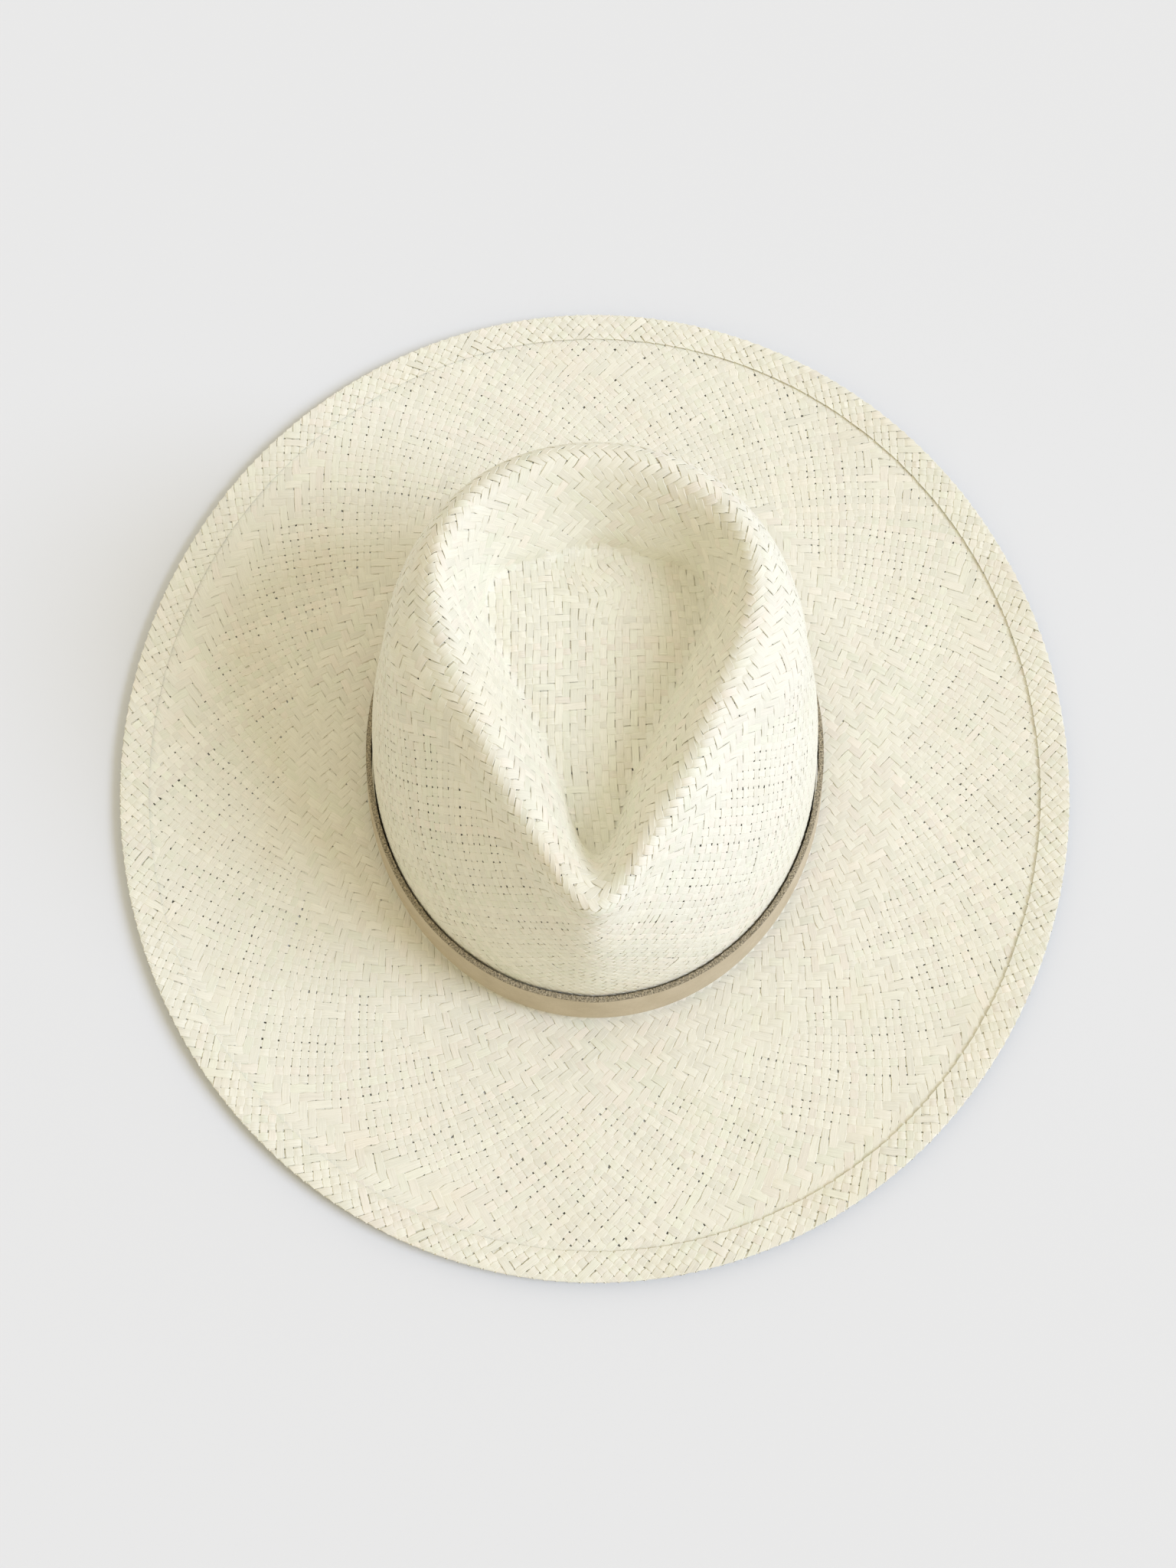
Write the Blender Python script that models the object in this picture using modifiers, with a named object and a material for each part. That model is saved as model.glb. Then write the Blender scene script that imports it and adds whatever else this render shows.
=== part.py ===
"""Panama hat with a teardrop crown, a wide flat brim, a leather hat band and a sewn-in sweatband.

Metres, +Z up.  The origin is the centre of the oval head opening, on the plane that the brim
rests on.  -Y is the front of the hat, where the crown comes to a pinched point.
"""

from math import atan2, cos, pi, sin, tau

import bmesh
import bpy
import numpy as np

MM = 0.001

# ---- straw body: plan sizes ---------------------------------------------------------------
BRIM_HALF = (0.1842, 0.1976)      # half width and half length of the brim's outline
HEAD_HALF = (0.0851, 0.0983)      # half width and half length of the head opening, inside
STRAW = 0.0012                    # two crossed straws
BORDER = 0.0020                   # doubled at the back-woven border
BORDER_WIDTH = 0.0120
BORDER_STEP = 0.0004              # run of the step where the border ends
EDGE_LIFT = 0.0035                # underside of the outer edge above the table
FLAT_FROM = 0.0065                # the flat part of the brim starts this far out from the head
FLAT_OUT = 0.45                   # and ends at this share of the way to the edge
BREAK_RADIUS = 0.0045             # curve between brim and crown
SEGMENTS = 64

# ---- crown: one column for each direction, turning from the front point to the back --------
TURN = np.radians([0, 12, 25, 40, 63, 100, 132, 155, 180])
CREST_RADIUS = np.array([83.5, 69.8, 57.0, 49.2, 44.2, 51.8, 69.8, 76.0, 77.6]) * MM
CREST_HEIGHT = np.array([107, 107.5, 108, 108.5, 108.5, 108, 108, 107, 106.5]) * MM
FLOOR_CENTRE = (0.0, 0.012)
FLOOR_RADIUS = np.array([71.0, 51.5, 39.0, 32.5, 29.5, 35.5, 47.5, 43.5, 44.5]) * MM
FLOOR_HEIGHT = 0.0775            # under the centre of the dent ...
FLOOR_SLOPE = 0.05               # ... rising this much towards the front
WALL_SHARE = (0.25, 0.50, 0.75, 0.92)      # shares of the crest's height ...
WALL_INSET = np.array([                    # ... and how far in towards the crest the wall is there
    [0.15, 0.09, 0.06, 0.05, 0.05, 0.06, 0.09, 0.09, 0.09],
    [0.33, 0.25, 0.21, 0.20, 0.18, 0.13, 0.19, 0.20, 0.20],
    [0.55, 0.50, 0.49, 0.50, 0.47, 0.29, 0.34, 0.33, 0.34],
    [0.78, 0.77, 0.78, 0.80, 0.77, 0.54, 0.56, 0.55, 0.56],
])
# From the crest (0) over the floor's edge (1) to its centre (2), and how much of the drop is done.
DENT_SHARE = (0.15, 0.30, 0.50, 0.70, 0.85, 1.0, 1.15, 1.5)
DENT_DROP = (0.04, 0.14, 0.34, 0.59, 0.79, 0.99, 1.0, 1.0)
WALL_RINGS = 11
DENT_RINGS = 12

# ---- bands ---------------------------------------------------------------------------------
GAP = 0.0004                      # between pieces that touch
BAND_BOTTOM = 0.0042
BAND_TOP = 0.0240
BAND_THICK = 0.0020
BAND_LAP = 0.026                  # the strap's ends lap by this much at the back
BAND_RAMP = 0.014
BAND_STEPS = 84
STITCH_RADIUS = 0.00025
STITCH_OFF = 0.0003               # thread lies this far off the leather
SWEAT_BOTTOM = 0.0034
SWEAT_TOP = 0.0360
SWEAT_THICK = 0.0010
SWEAT_SLOT = 0.0012               # the two ends stop this far apart at the back
SWEAT_STEPS = 64
REED_RADIUS = 0.0008
REED_HEIGHT = 0.0020
SWEAT_STITCH_HEIGHT = 0.0062
BOW_SIZE = (0.030, 0.0034, 0.012)
BOW_HEIGHT = 0.0170
LABEL_TURN = (2.36, 2.58)         # from the front, on the +X side
LABEL_SPAN = (0.0100, 0.0300)
LABEL_THICK = 0.0005


def spline(knots, values, at):
    """Cubic curve through values at the knots, level at both ends; values may have columns."""
    knots = np.asarray(knots, float)
    values = np.asarray(values, float)
    step = np.diff(knots)
    shape = (-1,) + (1,) * (values.ndim - 1)
    wide = step.reshape(shape)
    count = len(knots)
    system = np.eye(count)
    right = np.zeros_like(values)
    for i in range(1, count - 1):
        system[i, i - 1:i + 2] = step[i], 2 * (step[i - 1] + step[i]), step[i - 1]
        right[i] = 3 * ((values[i] - values[i - 1]) / wide[i - 1] * step[i]
                        + (values[i + 1] - values[i]) / wide[i] * step[i - 1])
    slope = np.linalg.solve(system, right.reshape(count, -1)).reshape(values.shape)
    at = np.atleast_1d(np.asarray(at, float))
    cell = np.clip(np.searchsorted(knots, at, side="right") - 1, 0, count - 2)
    h = step[cell].reshape(shape)
    u = ((at - knots[cell]) / step[cell]).reshape(shape)
    return (values[cell] * (1 + 2 * u) * (1 - u) ** 2 + values[cell + 1] * u * u * (3 - 2 * u)
            + slope[cell] * h * u * (1 - u) ** 2 - slope[cell + 1] * h * u * u * (1 - u))


def from_front(angle):
    """Turn from the front point, 0 to pi, for an angle measured round +Z from +X."""
    return abs((angle + pi / 2 + pi) % tau - pi)


def oval(half, angle):
    """Point of an upright-axis oval in the direction of the angle."""
    radius = 1 / np.hypot(cos(angle) / half[0], sin(angle) / half[1])
    return np.array([radius * cos(angle), radius * sin(angle)])


def floor_height(y):
    """Height of the dent's floor, a plane that rises to the front."""
    return FLOOR_HEIGHT + FLOOR_SLOPE * (FLOOR_CENTRE[1] - y)


def crown_line(angle):
    """Points and knots of one meridian of the crown's inside, from the brim break to the top."""
    turn = from_front(angle)
    way = np.array([cos(angle), sin(angle)])
    base = oval(HEAD_HALF, angle)
    crest = way * spline(TURN, CREST_RADIUS, turn)[0]
    floor = way * spline(TURN, FLOOR_RADIUS, turn)[0] + FLOOR_CENTRE
    high = spline(TURN, CREST_HEIGHT, turn)[0]
    inset = spline(TURN, WALL_INSET.T, turn)[0]
    points = [(*base, BREAK_RADIUS)]
    for share, part in zip(WALL_SHARE, inset):
        points.append((*(base + (crest - base) * part), high * share))
    points.append((*crest, high))
    for share, drop in zip(DENT_SHARE, DENT_DROP):
        if share <= 1:
            plan = crest + (floor - crest) * share
        else:
            plan = floor + (np.array(FLOOR_CENTRE) - floor) * (share - 1)
        points.append((*plan, high + (floor_height(plan[1]) - high) * drop))
    points.append((*FLOOR_CENTRE, FLOOR_HEIGHT))
    return np.array(points)


def crown_knots():
    """One set of knots for every meridian: the mean length between its points."""
    lines = [crown_line(tau * i / SEGMENTS) for i in range(SEGMENTS)]
    chords = [np.linalg.norm(np.diff(line, axis=0), axis=1) for line in lines]
    return np.concatenate([[0], np.cumsum(np.mean(chords, axis=0))])


KNOTS = crown_knots()
CREST_KNOT = KNOTS[len(WALL_SHARE) + 1]


def crown_at(angle, along):
    """Points of the crown's inside on one meridian; the wall starts straight up."""
    line = crown_line(angle)
    first = line[0] - (line[1] - line[0]) * 0.5
    knots = np.concatenate([[KNOTS[0] - 0.5 * (KNOTS[1] - KNOTS[0])], KNOTS])
    return spline(knots, np.vstack([first, line]), along)


def wall_point(angle, height, out=0.0):
    """Point on the crown's inner wall at a height, moved outwards by a distance."""
    line = crown_at(angle, np.linspace(0, KNOTS[3], 40))
    plan = np.array([np.interp(height, line[:, 2], line[:, axis]) for axis in (0, 1)])
    normal = np.array([plan[0] / HEAD_HALF[0] ** 2, plan[1] / HEAD_HALF[1] ** 2])
    plan = plan + normal / np.linalg.norm(normal) * out
    return (plan[0], plan[1], height)


def brim_rings():
    """Inset from the outer edge, height of the underside and thickness, for each brim ring."""
    width = BRIM_HALF[0] - HEAD_HALF[0]
    flat_end = width * (1 - FLAT_OUT)
    insets = [0.0, BORDER_WIDTH / 2, BORDER_WIDTH, BORDER_WIDTH + BORDER_STEP,
              0.5 * (BORDER_WIDTH + flat_end), flat_end,
              0.5 * (flat_end + width - FLAT_FROM), width - FLAT_FROM]
    rings = []
    for inset in insets:
        rise = max(0.0, 1 - inset / flat_end)
        rings.append((inset, EDGE_LIFT * rise ** 2, 1.0 if inset <= BORDER_WIDTH else 0.0))
    return rings


def brim_point(angle, inset, height):
    """Point of the brim's underside a given distance in from the outer edge."""
    width = BRIM_HALF[0] - HEAD_HALF[0]
    plan = oval(BRIM_HALF, angle) + (oval(HEAD_HALF, angle) - oval(BRIM_HALF, angle)) * inset / width
    return (plan[0], plan[1], height)


def break_points(angle, steps=3):
    """Quarter turn from the brim's underside up into the crown wall."""
    points = []
    for i in range(steps):
        lean = pi / 2 * i / steps
        out = BREAK_RADIUS * (1 - sin(lean))
        base = oval(HEAD_HALF, angle)
        plan = base * (1 + out / np.linalg.norm(base))
        points.append((plan[0], plan[1], BREAK_RADIUS * (1 - cos(lean))))
    return points


def collection(name):
    group = bpy.data.collections.new(name)
    bpy.context.scene.collection.children.link(group)
    return group


def material(name, colour, roughness):
    made = bpy.data.materials.new(name)
    made.use_nodes = True
    shader = made.node_tree.nodes["Principled BSDF"]
    shader.inputs["Base Color"].default_value = (*colour, 1)
    shader.inputs["Roughness"].default_value = roughness
    shader.inputs["Metallic"].default_value = 0.0
    return made


def add(name, mesh, finish, group, sharp=None):
    """Put a mesh in the hat's collection with its own material, shaded smooth."""
    mesh.materials.append(finish)
    mesh.shade_smooth()
    if sharp is not None:
        mesh.set_sharp_from_angle(angle=sharp)
    made = bpy.data.objects.new(name, mesh)
    group.objects.link(made)
    return made


def loft(name, rings, closed, pole=False):
    """Mesh through rings of points; a pole closes the last ring with one point."""
    form = bmesh.new()
    rows = [[form.verts.new(point) for point in ring] for ring in rings]
    for low, high in zip(rows, rows[1:]):
        count = len(low) if len(high) > 1 or closed else len(low) - 1
        for i in range(len(low) if closed else len(low) - 1):
            j = (i + 1) % len(low)
            if pole and high is rows[-1]:
                form.faces.new((low[i], low[j], high[0]))
            else:
                form.faces.new((low[i], low[j], high[j], high[i]))
    mesh = bpy.data.meshes.new(name)
    form.to_mesh(mesh)
    form.free()
    return mesh


def solidify(made, thickness):
    """Thicken an open surface outwards."""
    shell = made.modifiers.new("thickness", "SOLIDIFY")
    shell.thickness = thickness
    shell.offset = 1.0
    shell.use_even_offset = True
    shell.use_rim = True
    return shell


def straw_body(group):
    """Crown and brim woven as one piece, with the straws woven back along the edge."""
    angles = [tau * i / SEGMENTS for i in range(SEGMENTS)]
    brim = brim_rings()
    rings = [[brim_point(a, inset, height) for a in angles] for inset, height, _ in brim]
    breaks = [break_points(a) for a in angles]
    rings += [[points[i] for points in breaks] for i in range(len(breaks[0]))]
    wall = np.linspace(0, CREST_KNOT, WALL_RINGS)
    dent = np.linspace(CREST_KNOT, KNOTS[-1], DENT_RINGS + 1)[1:-1]
    crown = [crown_at(a, np.concatenate([wall, dent])) for a in angles]
    rings += [[tuple(points[i]) for points in crown] for i in range(len(crown[0]))]
    rings.append([(*FLOOR_CENTRE, FLOOR_HEIGHT)])
    mesh = loft("straw_body", rings, closed=True, pole=True)
    made = add("straw_body", mesh, material("straw", (0.84, 0.81, 0.66), 0.6), group)
    border = made.vertex_groups.new(name="border")
    for row, (_, _, weight) in enumerate(brim):
        border.add(range(row * SEGMENTS, (row + 1) * SEGMENTS), weight, "REPLACE")
    shell = solidify(made, BORDER)
    shell.vertex_group = "border"
    shell.thickness_vertex_group = STRAW / BORDER
    return made


def strip(name, turns, low, high, thickness, offset, finish, group):
    """Upright strip along the crown wall between two heights; offset(angle) moves it outwards."""
    heights = np.linspace(low, high, 3)
    rings = [[wall_point(a, h, offset(a)) for a in turns] for h in heights]
    made = add(name, loft(name, rings, closed=False), finish, group, sharp=0.7)
    solidify(made, thickness)
    return made


def tube(name, points, radius, cyclic, finish, group, sides=1):
    """Round cord along points, as a mesh."""
    line = bpy.data.curves.new(name, "CURVE")
    line.dimensions = "3D"
    line.bevel_depth = radius
    line.bevel_resolution = sides
    line.use_fill_caps = True
    run = line.splines.new("POLY")
    run.points.add(len(points) - 1)
    for point, place in zip(run.points, points):
        point.co = (*place, 1)
    run.use_cyclic_u = cyclic
    guide = bpy.data.objects.new(name + "_line", line)
    group.objects.link(guide)
    bpy.context.view_layer.update()
    mesh = bpy.data.meshes.new_from_object(guide.evaluated_get(bpy.context.evaluated_depsgraph_get()))
    bpy.data.objects.remove(guide)
    bpy.data.curves.remove(line)
    form = bmesh.new()
    form.from_mesh(mesh)
    bmesh.ops.remove_doubles(form, verts=form.verts, dist=1e-6)
    form.to_mesh(mesh)
    form.free()
    mesh.name = name
    return add(name, mesh, finish, group)


def band_offset(angle):
    """Leather clear of the straw, stepping out where the outer end laps the inner one."""
    ramp = BAND_RAMP / HEAD_HALF[1]
    past = angle - (pi / 2 + tau - ramp)
    share = min(max(past / (0.8 * ramp), 0.0), 1.0)
    lift = (BAND_THICK + GAP) * share * share * (3 - 2 * share)
    return STRAW + GAP + lift


def hat_band(group):
    """Leather strap round the foot of the crown, its ends lapped at the back."""
    end = pi / 2 + tau + BAND_LAP / HEAD_HALF[1]
    turns = np.linspace(pi / 2, end, BAND_STEPS)
    finish = material("band_leather", (0.46, 0.38, 0.26), 0.5)
    return strip("hat_band", turns, BAND_BOTTOM, BAND_TOP, BAND_THICK, band_offset, finish, group)


def hat_band_stitching(group):
    """Thread that closes the lap, round a box of stitches on the strap's outer end."""
    start = pi / 2 + tau + 0.25 * BAND_LAP / HEAD_HALF[1]
    end = pi / 2 + tau + 0.85 * BAND_LAP / HEAD_HALF[1]
    low, high = BAND_BOTTOM + 0.004, BAND_TOP - 0.004
    corners = [(start, low), (end, low), (end, high), (start, high)]
    points = []
    for (a0, h0), (a1, h1) in zip(corners, corners[1:] + corners[:1]):
        for i in range(5):
            angle, height = a0 + (a1 - a0) * i / 5, h0 + (h1 - h0) * i / 5
            out = band_offset(angle) + BAND_THICK + STITCH_OFF + STITCH_RADIUS
            points.append(wall_point(angle, height, out))
    finish = material("band_thread", (0.55, 0.47, 0.33), 0.8)
    return tube("hat_band_stitching", points, STITCH_RADIUS, True, finish, group)


def sweat_turns(steps):
    slot = 0.5 * SWEAT_SLOT / HEAD_HALF[1]
    return np.linspace(pi / 2 + slot, pi / 2 + tau - slot, steps)


def sweatband(group):
    """Soft leather band inside the head opening; its ends meet at the back."""
    finish = material("sweatband_leather", (0.62, 0.50, 0.34), 0.6)
    return strip("sweatband", sweat_turns(SWEAT_STEPS), SWEAT_BOTTOM, SWEAT_TOP, SWEAT_THICK,
                 lambda angle: -GAP - SWEAT_THICK, finish, group)


def sweatband_reed(group):
    """Round plastic reed that stiffens the sweatband's foot."""
    out = -GAP - SWEAT_THICK / 2
    points = [wall_point(a, BREAK_RADIUS, out) for a in sweat_turns(SWEAT_STEPS)]
    points = [(x, y, REED_HEIGHT) for x, y, _ in points]
    finish = material("reed_cover", (0.80, 0.76, 0.64), 0.6)
    return tube("sweatband_reed", points, REED_RADIUS, False, finish, group, sides=2)


def sweatband_stitching(group):
    """Thread that sews the sweatband to the straw, just above its foot."""
    out = -GAP - SWEAT_THICK - STITCH_OFF - STITCH_RADIUS
    points = [wall_point(a, SWEAT_STITCH_HEIGHT, out) for a in sweat_turns(SWEAT_STEPS)]
    finish = material("sweatband_thread", (0.85, 0.82, 0.72), 0.8)
    return tube("sweatband_stitching", points, STITCH_RADIUS, False, finish, group)


def sweatband_bow(group):
    """Flat ribbon bow over the meeting ends: a narrow knot between two wider loops."""
    form = bmesh.new()
    bmesh.ops.create_cube(form, size=1.0)
    upright = [edge for edge in form.edges if abs(edge.verts[0].co.x - edge.verts[1].co.x) > 0.5]
    bmesh.ops.subdivide_edges(form, edges=upright, cuts=5, use_grid_fill=True)
    for vert in form.verts:
        share = abs(vert.co.x) * 2
        waist = 0.42 + 0.58 * min(share * 1.8, 1.0) if share > 0.25 else 0.62
        vert.co.z *= waist * BOW_SIZE[2]
        vert.co.y *= BOW_SIZE[1] * (1.0 if share < 0.25 else 0.75)
        vert.co.x *= BOW_SIZE[0]
    mesh = bpy.data.meshes.new("sweatband_bow")
    form.to_mesh(mesh)
    form.free()
    finish = material("bow_ribbon", (0.60, 0.52, 0.38), 0.7)
    made = add("sweatband_bow", mesh, finish, group)
    wall = wall_point(pi / 2, BOW_HEIGHT + BOW_SIZE[2] / 2)
    made.location = (0, wall[1] - GAP - SWEAT_THICK - BOW_SIZE[1] / 2 - 0.0022, BOW_HEIGHT)
    soft = made.modifiers.new("soft", "SUBSURF")
    soft.levels = 1
    soft.render_levels = 1
    return made


def sweatband_label(group):
    """Blank woven tab sewn to the sweatband beside the bow."""
    turns = np.linspace(LABEL_TURN[0] - pi / 2, LABEL_TURN[1] - pi / 2, 5)
    finish = material("label_cloth", (0.86, 0.84, 0.78), 0.8)
    return strip("sweatband_label", turns, LABEL_SPAN[0], LABEL_SPAN[1], LABEL_THICK,
                 lambda angle: -GAP - SWEAT_THICK - STITCH_OFF - LABEL_THICK, finish, group)


def build():
    for item in list(bpy.data.objects):
        bpy.data.objects.remove(item)
    group = collection("panama_hat")
    straw_body(group)
    hat_band(group)
    hat_band_stitching(group)
    sweatband(group)
    sweatband_reed(group)
    sweatband_stitching(group)
    sweatband_bow(group)
    sweatband_label(group)


build()
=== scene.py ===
from math import cos, pi, radians, sin, sqrt, tau

import bmesh
import bpy
import numpy as np
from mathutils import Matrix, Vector
from mathutils.bvhtree import BVHTree


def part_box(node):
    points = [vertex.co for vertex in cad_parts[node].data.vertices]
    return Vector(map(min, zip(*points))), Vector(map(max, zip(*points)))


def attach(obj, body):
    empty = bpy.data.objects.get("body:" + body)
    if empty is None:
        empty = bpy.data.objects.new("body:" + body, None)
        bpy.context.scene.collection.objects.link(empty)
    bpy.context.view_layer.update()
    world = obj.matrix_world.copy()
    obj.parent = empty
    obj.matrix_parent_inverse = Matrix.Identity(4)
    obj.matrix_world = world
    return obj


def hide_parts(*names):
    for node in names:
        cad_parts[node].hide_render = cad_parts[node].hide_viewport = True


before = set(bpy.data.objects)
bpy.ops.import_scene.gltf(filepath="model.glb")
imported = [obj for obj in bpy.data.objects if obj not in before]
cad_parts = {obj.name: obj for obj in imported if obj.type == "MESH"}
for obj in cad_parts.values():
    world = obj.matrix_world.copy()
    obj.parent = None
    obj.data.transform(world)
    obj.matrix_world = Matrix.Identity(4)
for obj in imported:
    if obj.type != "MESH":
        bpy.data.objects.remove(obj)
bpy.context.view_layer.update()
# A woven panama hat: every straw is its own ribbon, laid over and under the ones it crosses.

MM = 0.001

# ---- the hat's form: the same few sizes that the CAD solid is made from ----
BRIM_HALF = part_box("straw_body")[1][:2]
HEAD_HALF = (0.0851, 0.0983)
EDGE_LIFT = 0.0035
FLAT_OUT = 0.45
BREAK_RADIUS = 0.0045
CLOTH = 0.0012  # thickness of the woven straw
TURN = np.radians([0, 12, 25, 40, 63, 100, 132, 155, 180])
CREST_RADIUS = np.array([83.5, 69.8, 57.0, 49.2, 44.2, 51.8, 69.8, 76.0, 77.6]) * MM
CREST_HEIGHT = np.array([107, 107.5, 108, 108.5, 108.5, 108, 108, 107, 106.5]) * MM
FLOOR_CENTRE = (0.0, 0.012)
FLOOR_RADIUS = np.array([71.0, 51.5, 39.0, 32.5, 29.5, 35.5, 47.5, 43.5, 44.5]) * MM
FLOOR_HEIGHT = 0.0775
FLOOR_SLOPE = 0.05
WALL_SHARE = (0.25, 0.50, 0.75, 0.92)
WALL_INSET = np.array([
    [0.15, 0.09, 0.06, 0.05, 0.05, 0.06, 0.09, 0.09, 0.09],
    [0.33, 0.25, 0.21, 0.20, 0.18, 0.13, 0.19, 0.20, 0.20],
    [0.55, 0.50, 0.49, 0.50, 0.47, 0.29, 0.34, 0.33, 0.34],
    [0.78, 0.77, 0.78, 0.80, 0.77, 0.54, 0.56, 0.55, 0.56],
])
DENT_SHARE = (0.15, 0.30, 0.50, 0.70, 0.85, 1.0, 1.15, 1.5)
DENT_DROP = (0.04, 0.14, 0.34, 0.59, 0.79, 0.99, 1.0, 1.0)
FLOOR_EDGE = 11  # knot of the floor's edge on a crown meridian
COLUMNS = 720  # points round the hat in the table of its middle surface ...
ROUND = np.arange(COLUMNS) * tau / COLUMNS + pi / 2  # ... and their angles, from the back
# Rings of that table on the brim, round its break, and from there up and over into the dent.
BRIM_RINGS, BREAK_RINGS, CROWN_RINGS = 190, 12, 520
TOP_RINGS = 150  # rings of the surface that the dent's own straws lie on

# ---- bands, as in the CAD ----
GAP = 0.0004
BAND_BOTTOM = 0.0042
BAND_TOP = 0.0240
BAND_THICK = 0.0020
BAND_LAP = 0.026
BAND_RAMP = 0.014
STITCH_RADIUS = 0.00025
STITCH_OFF = 0.0003
SWEAT_BOTTOM = 0.0034
SWEAT_TOP = 0.0360
SWEAT_THICK = 0.0010
SWEAT_SLOT = 0.0012
REED_RADIUS = 0.0008
REED_HEIGHT = 0.0020
SWEAT_STITCH_HEIGHT = 0.0062
LABEL_TURN = (2.36, 2.58)
LABEL_SPAN = (0.0100, 0.0300)
LABEL_THICK = 0.0005
WALL_KNOT = 3  # the bands' wall goes up to this knot of the crown's meridians
WALL_RINGS = 50
WALL_STEP, WALL_STEPS = 0.0015, 30  # spacing and number of the heights it is looked up at

# ---- weave ----
STRAW_THICK = 0.00022
STRAW_PROFILE = np.array([(-1.0, 0.0), (-0.90, 0.5), (0.90, 0.5),
                          (1.0, 0.0), (0.90, -0.5), (-0.90, -0.5)])
STRAW_CAP = np.array([(0, 1, 2, 3), (0, 3, 4, 5)])
SHARP = radians(20)  # edges of a straw that are sharper than this aren't smoothed
STRAW_RISE = 0.00016  # how far a straw rises and falls as it crosses the others
PITCH_EDGE = 0.00320  # straw to straw, square to the straws, at the brim's edge ...
PITCH_HEAD = 0.00275  # ... at the foot of the crown ...
PITCH_TOP = 0.00280  # ... on the crown ...
PITCH_FLOOR = 0.00260  # ... and on the dent's floor
FILL_CLOSED = 1.0  # width of a straw against the pitch, where the weave is closed
FILL_OPEN_LOSS = 0.03  # what it loses where the weave is open ...
WAIST_LOSS = 0.21  # ... and how much its waist between two crossings loses there
BRIM_SLACK = (0.24, 0.72)  # that loss on the brim: least, and how much it varies
WALL_WAIST = 1.25  # it is this much larger on the crown's wall ...
WALL_SLACK = (0.34, 0.56)  # ... and more even
SAMPLES = 3  # points along a straw between two crossings
TUCK = 6  # points over which a straw's end dives under the others
TUCK_DEPTH = 0.00045
THIN_AT = 0.94  # when this share of the straws would do ...
THIN_TO = 0.885  # ... they are thinned out to this share
STRAY_STRAW = 0.05  # how far a straw strays sideways, in pitches ...
STRAY_CROSSING = 0.035  # ... and how far it does so at each crossing
STRAW_WIDTHS = 0.03  # spread of the straws' widths ...
CROSSING_WIDTHS = 0.012  # ... and of the width along one straw
ODD_CROSSINGS = 0.012  # share of crossings where the wrong straw is on top
RIDGE_AT, RIDGE_REACH = 0.735, 0.11  # where the crown folds over, as a share of the wall's rows
RIDGE_RISE = 1.7  # straws stand this much prouder there ...
RIDGE_THICK = 1.5  # ... and are that much thicker ...
RIDGE_LOSS = 0.02  # ... and narrower
DENT_AT, DENT_REACH = 0.84, 0.06  # where the dent begins, as a share of the wall's rows
DENT_CALM = 0.3  # straws stand this much less proud inside it
BORDER_ROWS = 5  # crossings from the edge to the cut ends of the border
BORDER_RISE = 0.00062  # the doubled layer lies this far above the first ...
BORDER_PROUD = 0.8  # ... its straws stand this much prouder ...
BORDER_SINK = 0.0002  # ... and their cut ends press down by this much
BORDER_ODD = 0.04  # share of wrong crossings in the border
FOLD_TURN = 0.32  # crossings over which a straw turns round the edge
FOLD_WIDE = 0.45  # ... and over which it lies along the edge
FOLD_SETBACK = 0.12

# ---- where the weave is open: above 0 plain with pinholes, below 0 a closed twill ----
OUTER_ZONE, MIDDLE_ZONE, WALL_ZONE = 0.24, 0.62, 0.60
OUTER_LEAN, MIDDLE_LEAN, INNER_LEAN = -0.05, 0.50, -0.75  # along the brim, from its edge
WALL_LEAN, TOP_LEAN = 0.40, -0.9
FRONT_LEAN = 0.75  # the wall has this much more at its front, and less at its back
PATCH_LEAN = (0.75, 0.35)  # large and small patches, more or less open than the rest

# ---- the dent's floor: straight straws, lengthwise and crosswise ----
FLOOR_REACH = (-0.090, 0.080)
FLOOR_HALF = 0.075
FLOOR_OVERLAP = 0.0026  # its straws run this far past its outline
FLOOR_PROUD = 1.5  # and stand this much prouder than the others
FLOOR_SKEW = (0.05, 0.04)
FLOOR_BOW = 2.5
FLOOR_WANDER = (0.0010, 0.0009)  # how far whole groups of straws wander ...
FLOOR_STRAY = (0.00010, 0.00013)  # ... and each straw by itself
SWIRL = (0.004, 0.045)  # where the weaving of the crown began
SWIRL_SIZE = 0.010
SWIRL_TURN = 0.9
GROUPS = 5  # meshes that the straws of each side are shared out over

# ---- stitches ----
STITCH_FILL = 0.72  # length of a stitch against the spacing
STITCH_SINK = 0.0004  # its ends dive by this much
STITCH_SIDES, STITCH_STEPS = 8, 7

# ---- camera, ground and light ----
LENS, SENSOR = 43.8, 36.0
CAMERA_TILT = radians(18)
CAMERA_AIM = (-0.0026, -0.0087, 0)
CAMERA_AWAY = 0.7446
GROUND_HALF = 15.0
GROUND_COLOUR = (0.778, 0.805, 0.83)
SKY_COLOUR = (1, 0.877, 0.635, 1)
SKY_STRENGTH = 0.674


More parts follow.
